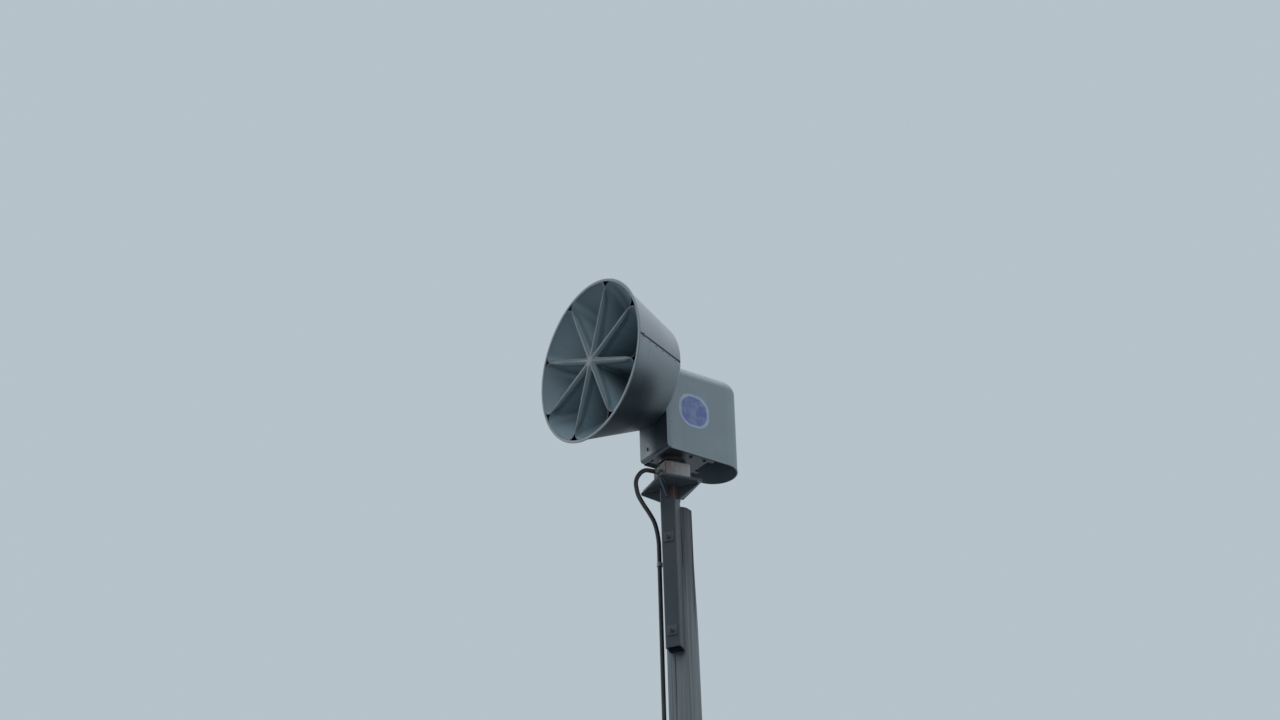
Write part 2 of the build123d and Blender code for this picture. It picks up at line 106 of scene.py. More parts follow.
def ramp(tree, value, low, high, to_low=0.0, to_high=1.0):
    return add_node(tree, "ShaderNodeMapRange",
                    {"Value": value, "From Min": low, "From Max": high,
                     "To Min": to_low, "To Max": to_high},
                    interpolation_type="SMOOTHSTEP").outputs["Result"]


def maths(tree, operation, *values):
    return add_node(tree, "ShaderNodeMath", dict(enumerate(values)), operation=operation).outputs[0]


def times(tree, first, second):
    return maths(tree, "MULTIPLY", first, second)


def split(tree, vector):
    return add_node(tree, "ShaderNodeSeparateXYZ", {"Vector": vector}).outputs


# 1 for what the camera sees, also in metal and through glass, and 0 for light that falls on a surface.
def seen_by_camera(tree):
    path = add_node(tree, "ShaderNodeLightPath").outputs
    straight = maths(tree, "MAXIMUM", path["Is Camera Ray"], path["Is Transmission Ray"])
    return maths(tree, "MAXIMUM", straight, path["Is Glossy Ray"])


world = bpy.data.worlds.new("soft_dome")
bpy.context.scene.world = world
world.use_nodes = True
tree = world.node_tree
tree.nodes.clear()
heading = split(tree, add_node(tree, "ShaderNodeTexCoord").outputs["Generated"])
dome = ramp(tree, heading["Z"], -0.12, 0.9, 0.10, 1.15)
open_side = ramp(tree, heading["Y"], 0.3, -0.9, 0.0, 0.30)
above_horizon = add_node(tree, "ShaderNodeMapRange",
                         {"Value": heading["Z"], "From Min": -0.04, "From Max": 0.12})
dome = maths(tree, "ADD", dome, times(tree, open_side, above_horizon.outputs[0]))
lit = add_node(tree, "ShaderNodeBackground", {"Color": dome_tone, "Strength": dome})
seen = add_node(tree, "ShaderNodeBackground", {"Color": backdrop_tone, "Strength": 1.0})
chosen = add_node(tree, "ShaderNodeMixShader",
                  {0: seen_by_camera(tree), 1: lit.outputs[0], 2: seen.outputs[0]})
output = add_node(tree, "ShaderNodeOutputWorld")
tree.links.new(chosen.outputs[0], output.inputs["Surface"])

# Each lamp: its name, its strength, its width in degrees and where it stands.
lamp_tone = (0.94, 0.99, 1.03)
for name, energy, spread, toward in (("high_lamp", 1.1, 60, (0.34, 0.38, 0.86)),
                                     ("low_lamp", 0.5, 25, (-0.70, -0.62, 0.36))):
    lamp_data = bpy.data.lights.new(name, "SUN")
    lamp_data.energy = energy
    lamp_data.angle = math.radians(spread)
    lamp_data.color = lamp_tone
    lamp = bpy.data.objects.new(name, lamp_data)
    lamp.rotation_euler = Vector(toward).to_track_quat("Z", "Y").to_euler()
    bpy.context.scene.collection.objects.link(lamp)


# Floor. A wide pale sheet that the pole stands on. Light that falls on it finds it dark,
# so that little light comes up from below.
floor_half_width = 60
floor_tone, floor_tone_seen = (0.085, 0.100, 0.112, 1), (0.62, 0.65, 0.67, 1)


def mix(tree, share, first, second):
    return add_node(tree, "ShaderNodeMix", {0: share, 6: first, 7: second}, data_type="RGBA").outputs[2]


bm = bmesh.new()
bmesh.ops.create_grid(bm, x_segments=1, y_segments=1, size=floor_half_width)
floor_mesh = bpy.data.meshes.new("floor")
bm.to_mesh(floor_mesh)
bm.free()
floor = bpy.data.objects.new("floor", floor_mesh)
bpy.context.scene.collection.objects.link(floor)
floor_finish = bpy.data.materials.new("pale_floor")
floor_finish.use_nodes = True
tree = floor_finish.node_tree
floor_shader = tree.nodes["Principled BSDF"]
tone = mix(tree, seen_by_camera(tree), floor_tone, floor_tone_seen)
tree.links.new(tone, floor_shader.inputs["Base Color"])
floor_shader.inputs["Roughness"].default_value = 0.9
floor_mesh.materials.append(floor_finish)


# Wooden pole. A peeled pine pole, dried grey, with long drying checks, bleached below the bracket.
# A flat gain is cut where the steel post seats, one side is shaved near the top, and the top is rounded.
pole_low, pole_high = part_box("wood_pole")
post_low, post_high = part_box("bracket_post")
post_axis = (post_low + post_high) / 2
bracket_turn = math.radians(34)
post_side = 0.087
post_front = Vector((math.sin(bracket_turn), -math.cos(bracket_turn), 0))
post_right = Vector((math.cos(bracket_turn), math.sin(bracket_turn), 0))
pole_height = pole_high.z
pole_foot_radius = (pole_high.x - pole_low.x) / 2
pole_top_radius = 0.082
pole_rows, pole_sides = 520, 120
pole_top_rings, pole_top_round, bark_loss = 7, 0.016, 0.0012
wander_size, swell_size, ridge_size, bowl_size = 0.05, 0.0035, 0.0016, 0.004
gain_distance = post_axis.dot(post_front) - post_side / 2
gain_bottom = post_low.z - 0.020


# Every new piece goes through here: its faces turn outward, and it gets its finish and rides on its body.
def finish_piece(bm, name, body, finish, smooth_angle=40):
    bmesh.ops.recalc_face_normals(bm, faces=bm.faces)
    mesh = bpy.data.meshes.new(name)
    bm.to_mesh(mesh)
    bm.free()
    mesh.materials.append(finish)
    piece = bpy.data.objects.new(name, mesh)
    bpy.context.scene.collection.objects.link(piece)
    mesh.shade_smooth()
    mesh.set_sharp_from_angle(angle=math.radians(smooth_angle))
    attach(piece, body)
    return piece


def new_finish(name):
    finish = bpy.data.materials.new(name)
    finish.use_nodes = True
    tree = finish.node_tree
    place = add_node(tree, "ShaderNodeTexCoord").outputs["Object"]
    return finish, tree, tree.nodes["Principled BSDF"], place


def noise_at(tree, place, stretch, detail=6, rough=0.55):
    spread = add_node(tree, "ShaderNodeMapping", {"Vector": place, "Scale": stretch})
    return add_node(tree, "ShaderNodeTexNoise",
                    {"Vector": spread.outputs[0], "Scale": 1.0, "Detail": detail, "Roughness": rough}
                    ).outputs["Fac"]


def paint(tree, shader, tone, roughness, metallic=0.0):
    for key, value in (("Base Color", tone), ("Roughness", roughness), ("Metallic", metallic)):
        if isinstance(value, bpy.types.NodeSocket):
            tree.links.new(value, shader.inputs[key])
        else:
            shader.inputs[key].default_value = value


def relief(tree, shader, value, strength, distance):
    bump = add_node(tree, "ShaderNodeBump", {"Height": value, "Strength": strength, "Distance": distance})
    tree.links.new(bump.outputs[0], shader.inputs["Normal"])


finish, tree, shader, place = new_finish("weathered_wood")
long_grain = noise_at(tree, place, (85, 85, 1.1), 9, 0.62)
fine_grain = noise_at(tree, place, (330, 330, 5), 6, 0.6)
patches = noise_at(tree, place, (9, 9, 1.2), 4)
checks = add_node(tree, "ShaderNodeAttribute", attribute_name="check").outputs["Fac"]
tone = mix(tree, ramp(tree, long_grain, 0.35, 0.68), (0.040, 0.045, 0.050, 1), (0.120, 0.132, 0.142, 1))
tone = mix(tree, times(tree, ramp(tree, patches, 0.45, 0.7), 0.55), tone, (0.088, 0.086, 0.082, 1))
tone = mix(tree, times(tree, ramp(tree, fine_grain, 0.5, 0.75), 0.5), tone, (0.160, 0.172, 0.180, 1))
bleached = ramp(tree, split(tree, place)["Z"], 12.95, 12.35)
bleached = times(tree, bleached, ramp(tree, long_grain, 0.30, 0.60, 0.35, 0.75))
tone = mix(tree, bleached, tone, (0.215, 0.240, 0.250, 1))
# Painted shade: the drying checks are painted near black along their depth, for the shade in the cracks.
tone = mix(tree, ramp(tree, checks, 0.25, 0.9), tone, (0.020, 0.020, 0.020, 1))
paint(tree, shader, tone, 0.88)
relief(tree, shader, mix(tree, 0.5, long_grain, fine_grain), 0.55, 0.002)
weathered_wood = finish


def pole_radius(z):
    return pole_foot_radius + (pole_top_radius - pole_foot_radius) * z / pole_height


bm = bmesh.new()
bmesh.ops.create_cone(bm, cap_ends=True, segments=pole_sides, radius1=pole_foot_radius,
                      radius2=pole_top_radius, depth=pole_height,
                      matrix=Matrix.Translation((0, 0, pole_height / 2)))
uprights = [edge for edge in bm.edges if abs(edge.verts[0].co.z - edge.verts[1].co.z) > 1]
bmesh.ops.subdivide_edges(bm, edges=uprights, cuts=pole_rows)
top_face = [face for face in bm.faces if face.calc_center_median().z > pole_height - 0.0001]
for ring in range(pole_top_rings):
    bmesh.ops.inset_region(bm, faces=top_face, thickness=pole_top_radius / (pole_top_rings + 1.5))
# Each drying check: where it lies round the pole, its lower and upper end, and how deep it is.
check_list = [(0.35, 12.2, 13.1, 0.010), (1.35, 11.4, 12.9, 0.007), (2.3, 12.5, 13.1, 0.011),
              (3.2, 10.8, 12.6, 0.009), (4.05, 12.0, 13.1, 0.012), (5.1, 11.6, 13.0, 0.008),
              (5.8, 12.6, 13.1, 0.009), (0.9, 7.5, 10.9, 0.011), (2.6, 5.2, 8.6, 0.012),
              (4.6, 6.4, 10.2, 0.010), (1.8, 1.2, 4.9, 0.013), (3.6, 2.0, 5.5, 0.012),
              (5.5, 0.6, 3.8, 0.013), (0.1, 3.6, 6.6, 0.011)]
check_width = 0.0032
check_fade = 0.35
shaved_side = Vector((math.cos(math.radians(54)), math.sin(math.radians(54)), 0))
shaved_deep, shaved_low, shaved_high = 0.0095, 12.30, 12.75
check_layer = bm.verts.layers.float.new("check")
for vert in bm.verts:
    out = Vector((vert.co.x, vert.co.y, 0))
    radius = out.length
    if radius < 1e-6:
        continue
    out.normalize()
    z = vert.co.z
    angle = math.atan2(vert.co.y, vert.co.x) % (2 * math.pi)
    wander = noise.noise(Vector((0.5, 0.5, z * 1.3))) * wander_size
    swell = noise.noise(Vector((out.x * 1.2, out.y * 1.2, z * 0.7))) * swell_size
    ridge = noise.noise(Vector((out.x * 9, out.y * 9, z * 1.5))) * ridge_size
    share = radius / pole_radius(z)
    deep = 0.0
    for check_angle, low, high, depth in check_list:
        to_end = z - low if high >= pole_height else min(z - low, high - z)
        taper = min(1.0, max(0.0, to_end) / check_fade)
        gap = abs((angle - check_angle - wander + math.pi) % (2 * math.pi) - math.pi) * radius
        near = 1 - gap / (check_width * 1.6 * (0.4 + 0.6 * taper))
        if taper > 0 and near > 0:
            deep = max(deep, taper * near)
            ridge -= depth * taper * near * min(1.0, share * 1.2)
    vert[check_layer] = deep
    vert.co += out * (min((swell + ridge) * share, bark_loss) - bark_loss)
    if z > pole_height - 0.0001:
        bowl = noise.noise(Vector((vert.co.x * 22, vert.co.y * 22, 3.0))) * bowl_size
        vert.co.z -= (share ** 6) * pole_top_round + bowl_size + bowl
    shaved = shaved_deep * min(1.0, max(0.0, (z - shaved_low) / (shaved_high - shaved_low)))
    beyond = vert.co.dot(shaved_side) - (pole_radius(z) - shaved)
    if shaved > 0 and beyond > 0:
        vert.co -= shaved_side * beyond
    proud = vert.co.dot(post_front) - gain_distance
    if z > gain_bottom and proud > 0:
        vert.co -= post_front * proud
pole = finish_piece(bm, "pole", "mast", weathered_wood, 60)
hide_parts("wood_pole")


# Riser, straps and cable clips. A galvanised steel pipe guards the cable where people can reach it,
# with a tapered bushing on top. Bent steel strip holds it, and standoff clips hold the cable above.
finish, tree, shader, place = new_finish("dull_zinc")
spangle = add_node(tree, "ShaderNodeTexVoronoi", {"Vector": place, "Scale": 70.0}).outputs["Color"]
spangle = add_node(tree, "ShaderNodeSeparateColor", {"Color": spangle}).outputs[0]
stain = noise_at(tree, place, (26, 26, 7), 7, 0.65)
tone = mix(tree, spangle, (0.20, 0.205, 0.21, 1), (0.33, 0.335, 0.34, 1))
tone = mix(tree, ramp(tree, stain, 0.58, 0.70), tone, (0.12, 0.062, 0.036, 1))
paint(tree, shader, tone, ramp(tree, stain, 0.3, 0.7, 0.42, 0.75), metallic=0.55)
relief(tree, shader, stain, 0.15, 0.0008)
dull_zinc = finish


# A CAD node keeps its mesh and gets the finish of the real piece.
def coat(node, finish):
    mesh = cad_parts[node].data
    mesh.materials.clear()
    mesh.materials.append(finish)


# Small fixings are built on +Z and then set where they seat, looking out of the surface.
def seat(point, outward):
    turn = Vector(outward).to_track_quat("Z", "Y").to_matrix().to_4x4()
    return Matrix.Translation(point) @ turn


def round_bar(bm, place, radius, low, high, segments=24, top_radius=None):
    made = bmesh.ops.create_cone(bm, cap_ends=True, segments=segments, radius1=radius,
                                 radius2=radius if top_radius is None else top_radius, depth=high - low,
                                 matrix=place @ Matrix.Translation((0, 0, (low + high) / 2)))
    return made["verts"]


def bevel_edges(bm, edges, offset, segments, **settings):
    bmesh.ops.bevel(bm, geom=edges, offset=offset, segments=segments, profile=0.5, affect="EDGES",
                    material=-1, **settings)


# A hexagon head or nut: its outer corners are turned off, as on the real one.
def hexagon(bm, place, across_flats, low, high):
    corner = across_flats / math.sqrt(3)
    verts = round_bar(bm, place, corner, low, high, 6)
    faces = {face for vert in verts for face in vert.link_faces}
    outward = (place.to_3x3() @ Vector((0, 0, 1))).normalized()
    outer = max(faces, key=lambda face: face.calc_center_median().dot(outward))
    bevel_edges(bm, list(outer.edges), corner * 0.14, 2)


def square_plate(bm, place, side, low, high, edge):
    made = bmesh.ops.create_cube(bm, size=1, matrix=place @ Matrix.Translation((0, 0, (low + high) / 2))
                                 @ Matrix.Diagonal((side[0], side[1], high - low, 1)))
    edges = list({link for vert in made["verts"] for link in vert.link_edges})
    bevel_edges(bm, edges, edge, 2)


# A bolt head on a round washer. Bolt sizes are written in the order of these four values.
def capped_bolt(bm, place, across_flats, head_height, washer_radius, washer_thickness):
    round_bar(bm, place, washer_radius, 0, washer_thickness)
    hexagon(bm, place, across_flats, washer_thickness, washer_thickness + head_height)


for name in ("riser_pipe", "riser_bushing", "riser_straps", "cable_clips"):
    coat(name, dull_zinc)

cable_turn = math.radians(-36.7)
cable_side = Vector((math.sin(cable_turn), -math.cos(cable_turn), 0))
cable_across = Vector((math.cos(cable_turn), math.sin(cable_turn), 0))
strap_heights = (0.400, 1.250, 2.100)
strap_face, strap_hole = 0.0048, 0.0465
lag_head = (0.0127, 0.006, 0.0115, 0.0018)
lag_shank_radius, lag_shank_length = 0.0045, 0.036
bm = bmesh.new()
for z in strap_heights:
    for side in (-1, 1):
        foot = cable_side * (pole_radius(z) + strap_face) + cable_across * side * strap_hole
        place = seat(foot + Vector((0, 0, z)), cable_side)
        capped_bolt(bm, place, *lag_head)
        round_bar(bm, place, lag_shank_radius, -lag_shank_length, 0, 16)
finish_piece(bm, "strap_screws", "mast", dull_zinc)

clip_first, clip_spacing, clip_count = 12.780, 1.250, 9
ear_side, ear_thickness, ear_centre, ear_edge = (0.030, 0.019), 0.0025, 0.021, 0.0006
ear_bolt = (0.010, 0.0045, 0.0075, 0.0012)
quarter_turn = Matrix.Rotation(math.radians(90), 4, "Z")
bm = bmesh.new()
for number in range(clip_count):
    z = clip_first - clip_spacing * number
    foot = cable_side * pole_radius(z) + cable_across * ear_centre + Vector((0, 0, z))
    place = seat(foot, cable_side + cable_across * (ear_centre / pole_radius(z)))
    square_plate(bm, place @ quarter_turn, ear_side, 0, ear_thickness, ear_edge)
    capped_bolt(bm, place @ Matrix.Translation((0, 0, ear_thickness)), *ear_bolt)
finish_piece(bm, "clip_ears", "mast", dull_zinc)


# Bracket. A square steel tube with a plate and four gussets welded on top, painted dark grey. Rust has
# come through at the welds. It seats in the pole's gain, on the side nearest to the camera.
plate_low, plate_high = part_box("top_plate")
plate_bottom, plate_top = plate_low.z, plate_high.z
swivel = (plate_low + plate_high) / 2
gusset_reach, gusset_drop, gusset_thickness = 0.118, 0.076, 0.008
near_edge = post_axis + (post_front + post_right) * post_side / 2
rust_below_plate = 0.040
rust_patch = (near_edge.x, near_edge.y, plate_bottom - rust_below_plate)
ripple_swell, weld_wobble = 0.16, 0.10


# A colour laid over a finish that stands, where share is above 0.
def overlay(finish, share, colour):
    shader = finish.node_tree.nodes["Principled BSDF"]
    under = shader.inputs["Base Color"].links[0].from_socket
    finish.node_tree.links.new(mix(finish.node_tree, share, under, colour), shader.inputs["Base Color"])


# Where a point lies from the middle of the horn's mouth, and which way its surface faces, both as at rest.
def from_mouth(tree):
    place = tree.nodes["Texture Coordinate"].outputs["Object"]
    away = add_node(tree, "ShaderNodeVectorMath", {0: place, 1: tuple(mouth)},
                    operation="SUBTRACT").outputs[0]
    facing = add_node(tree, "ShaderNodeNewGeometry").outputs["True Normal"]
    facing = add_node(tree, "ShaderNodeVectorTransform", {"Vector": facing}, vector_type="NORMAL",
                      convert_from="WORLD", convert_to="OBJECT").outputs[0]
    return split(tree, away), split(tree, facing)


def long_edges_of(verts, length):
    edges = {link for vert in verts for link in vert.link_edges}
    return [edge for edge in edges if edge.calc_length() > length * 0.9]


def new_points(cut):
    return {item for item in cut["geom"] if isinstance(item, bmesh.types.BMVert)}


# Paint out in the weather: lighter where it faces up, as chalking and painted sky light, and darker where it
# faces down, as painted shade. Grime lies in runs and specks, and rust has come through.
def weathered_paint(name, colour, chalk_and_sky_light, grime_and_shade, roughness, runs=0.35,
                    rust=0.0, rust_at=None, rust_reach=0.1, under=0.55, shade_from=-0.1):
    finish, tree, shader, place = new_finish(name)
    upward = split(tree, add_node(tree, "ShaderNodeNewGeometry").outputs["Normal"])["Z"]
    clouds = noise_at(tree, place, (5, 5, 5), 5)
    run_marks = noise_at(tree, place, (34, 34, 1.6), 4)
    fine = noise_at(tree, place, (420, 420, 420), 2)
    specks = noise_at(tree, place, (150, 150, 110), 3, 0.6)
    # Painted light: upward faces lean to the chalk tone, and downward faces lean to the grime tone by the
    # share under, as painted shade.
    tone = mix(tree, ramp(tree, upward, 0.1, 0.95), colour, chalk_and_sky_light)
    tone = mix(tree, times(tree, ramp(tree, upward, shade_from, -0.93), under), tone, grime_and_shade)
    tone = mix(tree, times(tree, ramp(tree, clouds, 0.42, 0.72), 0.35), tone, chalk_and_sky_light)
    tone = mix(tree, times(tree, ramp(tree, run_marks, 0.56, 0.78), runs), tone, grime_and_shade)
    tone = mix(tree, times(tree, ramp(tree, specks, 0.66, 0.74), 0.5), tone, grime_and_shade)
    if rust > 0:
        spots = noise_at(tree, place, (38, 38, 26), 8, 0.7)
        rusty = times(tree, ramp(tree, spots, 0.60, 0.68), rust)
        if rust_at is not None:
            away = add_node(tree, "ShaderNodeVectorMath", {0: place, 1: rust_at}, operation="DISTANCE")
            close = ramp(tree, away.outputs["Value"], rust_reach, rust_reach * 0.25)
            patch = times(tree, close, ramp(tree, spots, 0.34, 0.50))
            rusty = maths(tree, "MAXIMUM", rusty, times(tree, patch, 0.85))
        rust_tone = mix(tree, run_marks, (0.075, 0.036, 0.022, 1), (0.17, 0.080, 0.042, 1))
        tone = mix(tree, rusty, tone, rust_tone)
    paint(tree, shader, tone, ramp(tree, clouds, 0.3, 0.7, roughness, roughness + 0.16))
    relief(tree, shader, mix(tree, 0.25, fine, specks), 0.14, 0.0006)
    return finish


# A weld: a rippled bead laid from one point to another.
def weld(bm, start, end, radius, ripple=0.0045):
    start, end = Vector(start), Vector(end)
    length = (end - start).length
    place = seat(start, end - start)
    verts = round_bar(bm, place, radius, 0, length, 8)
    ripples = max(2, round(length / ripple))
    cut = bmesh.ops.subdivide_edges(bm, edges=long_edges_of(verts, length), cuts=3 * ripples - 1)
    back_to_bar = place.inverted()
    for vert in new_points(cut):
        local = back_to_bar @ vert.co
        wave = 1 + ripple_swell * math.cos(2 * math.pi * ripples * local.z / length)
        wave += weld_wobble * noise.noise(vert.co * 160)
        local.x *= wave
        local.y *= wave
        vert.co = place @ local


bracket_paint = weathered_paint("bracket_paint", (0.033, 0.046, 0.058, 1), (0.060, 0.073, 0.085, 1),
                                (0.028, 0.030, 0.032, 1), roughness=0.34, runs=0.35, rust=0.6,
                                rust_at=rust_patch, rust_reach=0.065)
# The plate's edges are dark. All undersides are painted lighter, as painted light thrown up from below.
tree = bracket_paint.node_tree
away, facing = from_mouth(tree)
plate_edge = times(tree, maths(tree, "GREATER_THAN", away["Z"], plate_bottom - mouth.z - 0.0005),
                   maths(tree, "LESS_THAN", facing["Z"], 0.5))
overlay(bracket_paint, times(tree, plate_edge, 0.8), (0.016, 0.022, 0.028, 1))
overlay(bracket_paint, ramp(tree, facing["Z"], -0.30, -0.85, 0.0, 0.75), (0.125, 0.155, 0.175, 1))
for name in ("bracket_post", "top_plate", "gusset_right", "gusset_back", "gusset_left", "gusset_front"):
    coat(name, bracket_paint)

weld_radius, weld_start, weld_end_gap, gusset_welded = 0.0042, 0.004, 0.010, 0.94
bm = bmesh.new()
post_top = Vector((post_axis.x, post_axis.y, plate_bottom))
for quarter in range(4):
    turn = Matrix.Rotation(math.radians(90 * quarter), 3, "Z")
    outward, sideways = turn @ post_right, turn @ post_front
    for side in (-1, 1):
        root = post_top + outward * post_side / 2 + sideways * side * gusset_thickness / 2
        weld(bm, root, root - Vector((0, 0, gusset_drop)), weld_radius)
        weld(bm, root + outward * weld_start, root + outward * gusset_reach * gusset_welded, weld_radius)
        end = post_top + outward * post_side / 2 + sideways * side * (post_side / 2 - weld_end_gap)
        weld(bm, root + sideways * side * weld_start, end, weld_radius)
finish_piece(bm, "bracket_welds", "mast", bracket_paint, 80)

# Through bolts. Galvanised rod, threaded at both ends, goes through the post and the pole.
# Each end has a square plate washer and a nut, dark with age, and the tails stick out.
old_zinc = weathered_paint("old_zinc", (0.060, 0.070, 0.078, 1), (0.10, 0.11, 0.118, 1),
                           (0.022, 0.022, 0.022, 1), roughness=0.5, runs=0.4, rust=0.9)
rod_radius, thread_deep, thread_pitch = 0.008, 0.0009, 0.0022
washer_side, washer_thickness, washer_edge = 0.057, 0.005, 0.0008
collar_radius, collar_height = 0.0135, 0.002
nut_height, nut_across, tail = 0.013, 0.024, 0.022
washer_gap = 0.0003


def threaded_tail(bm, place, low, high):
    turns = round((high - low) / thread_pitch)
    verts = round_bar(bm, place, rod_radius, low, high, 20)
    cut = bmesh.ops.subdivide_edges(bm, edges=long_edges_of(verts, high - low), cuts=2 * turns - 1)
    back_to_bar = place.inverted()
    for vert in new_points(cut):
        local = back_to_bar @ vert.co
        row = round((local.z - low) / (high - low) * 2 * turns)
        if row % 2 == 0:
            local.x *= 1 - thread_deep / rod_radius
            local.y *= 1 - thread_deep / rod_radius
            vert.co = place @ local


for name in ("through_bolt_upper", "through_bolt_lower"):
    bolt_low, bolt_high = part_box(name)
    bolt_z = (bolt_low.z + bolt_high.z) / 2
    bm = bmesh.new()
    front_seat = post_axis + post_front * post_side / 2
    back_seat = -post_front * (pole_radius(bolt_z) + washer_gap)
    for point, outward in ((front_seat, post_front), (back_seat, -post_front)):
        place = seat((point.x, point.y, bolt_z), outward)
        square_plate(bm, place, (washer_side, washer_side), 0, washer_thickness, washer_edge)
        round_bar(bm, place, collar_radius, washer_thickness, washer_thickness + collar_height)
        hexagon(bm, place, nut_across, washer_thickness + collar_height, washer_thickness + nut_height)
        threaded_tail(bm, place, washer_thickness + nut_height, washer_thickness + nut_height + tail)
    length = (front_seat - back_seat).xy.length
    place = seat((back_seat.x, back_seat.y, bolt_z), post_front)
    round_bar(bm, place, rod_radius, 0, length, 20)
    bolt = finish_piece(bm, name.replace("through_bolt", "bolt_and_nuts"), "mast", old_zinc)
    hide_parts(name)

# Pedestal. A box of bent sheet steel in light grey paint, welded to the plate all round.
# Its roof holds the spindle. The side that looks past the horn's mouth is dark brown all over: a rust patch
# on it, and painted shade over the whole face.
pedestal_turn = bracket_turn + math.radians(45)
pedestal_side, pedestal_corner, pedestal_bead = 0.150, 0.010, 0.0032
pedestal_right = Vector((math.cos(pedestal_turn), math.sin(pedestal_turn), 0))
pedestal_front = Vector((math.sin(pedestal_turn), -math.cos(pedestal_turn), 0))
rust_above_plate = 0.055
rusty_side = Vector((swivel.x, swivel.y, plate_top + rust_above_plate))
rusty_side -= pedestal_right * (pedestal_side / 2)
pedestal_paint = weathered_paint("pedestal_paint", (0.315, 0.315, 0.310, 1), (0.38, 0.38, 0.37, 1),
                                 (0.12, 0.095, 0.075, 1), roughness=0.45, runs=0.45, rust=0.5,
                                 rust_at=tuple(rusty_side), rust_reach=0.16)
tree = pedestal_paint.node_tree
away, facing = from_mouth(tree)
# Painted shade: the face that looks past the horn's mouth is laid over in dark brown.
overlay(pedestal_paint, ramp(tree, facing["Y"], -0.75, -0.95, 0.0, 0.82), (0.050, 0.037, 0.030, 1))
coat("pedestal", pedestal_paint)
bm = bmesh.new()
foot = Vector((swivel.x, swivel.y, plate_top))
half = pedestal_side / 2
for quarter in range(4):
    turn = Matrix.Rotation(math.radians(90 * quarter), 3, "Z")
    outward, sideways = turn @ pedestal_front, turn @ pedestal_right
    run = sideways * (half - pedestal_corner)
    weld(bm, foot + outward * half - run, foot + outward * half + run, pedestal_bead)
finish_piece(bm, "pedestal_weld", "mast", pedestal_paint, 80)

# Swivel. A turned spindle, bearing ring and turntable of plain steel, dark with old grease.
# The head stands and turns on them.
greased = weathered_paint("greased_steel", (0.035, 0.033, 0.031, 1), (0.06, 0.057, 0.053, 1),
                          (0.015, 0.013, 0.012, 1), roughness=0.38, runs=0.3, rust=0.35)
for name in ("spindle", "bearing_ring", "turntable"):
    coat(name, greased)

# Feed cable and gland. A black jacketed cable, dusty on its outer side, hangs in a slack loop
# from a screwed gland in the pedestal's side and is clipped down the pole.
finish, tree, shader, place = new_finish("cable_jacket")
dust = noise_at(tree, place, (60, 60, 12), 5)
tone = mix(tree, ramp(tree, dust, 0.45, 0.75), (0.010, 0.010, 0.011, 1), (0.035, 0.036, 0.038, 1))
paint(tree, shader, tone, 0.5)
relief(tree, shader, dust, 0.1, 0.0005)
coat("feed_cable", finish)
coat("cable_gland", dull_zinc)

# Base plate, rails and saddles. Bent and cut steel plate in the bracket's dark paint.
# The rails are bolted up from under the plate, and the motor lies in the two saddles.
frame_paint = weathered_paint("frame_paint", (0.045, 0.052, 0.060, 1), (0.07, 0.078, 0.085, 1),
                              (0.022, 0.022, 0.022, 1), roughness=0.45, runs=0.3, rust=0.5)
for name in ("base_plate", "rail_left", "rail_right", "saddle_front", "saddle_rear"):
    coat(name, frame_paint)
base_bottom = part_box("base_plate")[0].z
rail_low, rail_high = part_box("rail_right")
rail_middle = (rail_low.x + rail_high.x) / 2 - swivel.x
rail_bolt, saddle_bead = (0.013, 0.008, 0.012, 0.002), 0.003
half_bead_run = Vector((0.011, 0, 0))
rail_bolt_rows = (-0.078, 0.076, 0.165)
bm = bmesh.new()
for side in (-1, 1):
    for along in rail_bolt_rows:
        under = (swivel.x + side * rail_middle, swivel.y + along, base_bottom)
        capped_bolt(bm, seat(under, (0, 0, -1)), *rail_bolt)
for name in ("saddle_front", "saddle_rear"):
    low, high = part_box(name)
    for side in (-1, 1):
        for face in (low.y, high.y):
            root = Vector((swivel.x + side * rail_middle, face, low.z))
            weld(bm, root - half_bead_run, root + half_bead_run, saddle_bead)
finish_piece(bm, "frame_fixings", "head", frame_paint, 60)

# Motor, gearbox and turning motor. Dark grey enamel over castings: the long motor has cooling ribs
# between its end bells, and the gearbox has a bolted lid.
motor_enamel = weathered_paint("motor_enamel", (0.05, 0.058, 0.062, 1), (0.08, 0.09, 0.095, 1),
                               (0.02, 0.02, 0.02, 1), roughness=0.4, runs=0.2, rust=0.2)
coat("gearbox", motor_enamel)
coat("slew_motor", motor_enamel)
motor_low, motor_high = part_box("motor")
motor_radius = (motor_high.z - motor_low.z) / 2
motor_middle = (motor_low + motor_high) / 2
rib_count, rib_deep, bell_length, bell_round = 48, 0.0045, 0.045, 0.012
bm = bmesh.new()
place = seat((motor_middle.x, motor_low.y, motor_middle.z), (0, 1, 0))
motor_length = motor_high.y - motor_low.y
verts = round_bar(bm, place, motor_radius, 0, motor_length, rib_count * 3)
bmesh.ops.subdivide_edges(bm, edges=long_edges_of(verts, motor_length), cuts=30)
ends = [edge for edge in bm.edges if len(edge.link_faces) == 2
        and any(len(face.verts) > 4 for face in edge.link_faces)]
bevel_edges(bm, ends, bell_round, 4)
back_to_bar = place.inverted()
for vert in bm.verts:
    local = back_to_bar @ vert.co
    step = round(math.atan2(local.y, local.x) / (2 * math.pi) * rib_count * 3) % 3
    if bell_length < local.z < motor_length - bell_length and step == 0:
        shrink = 1 - rib_deep / motor_radius
        vert.co = place @ Vector((local.x * shrink, local.y * shrink, local.z))
ribbed_motor = finish_piece(bm, "ribbed_motor", "head", motor_enamel, 30)
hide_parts("motor")

gear_low, gear_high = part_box("gearbox")
lid_bolt, lid_bolt_edge = (0.008, 0.005, 0.0065, 0.0012), 0.009
bm = bmesh.new()
for x in (gear_low.x + lid_bolt_edge, gear_high.x - lid_bolt_edge):
    for y in (gear_low.y + lid_bolt_edge, gear_high.y - lid_bolt_edge):
        capped_bolt(bm, seat((x, y, gear_high.z), (0, 0, 1)), *lid_bolt)
finish_piece(bm, "lid_bolts", "head", motor_enamel)

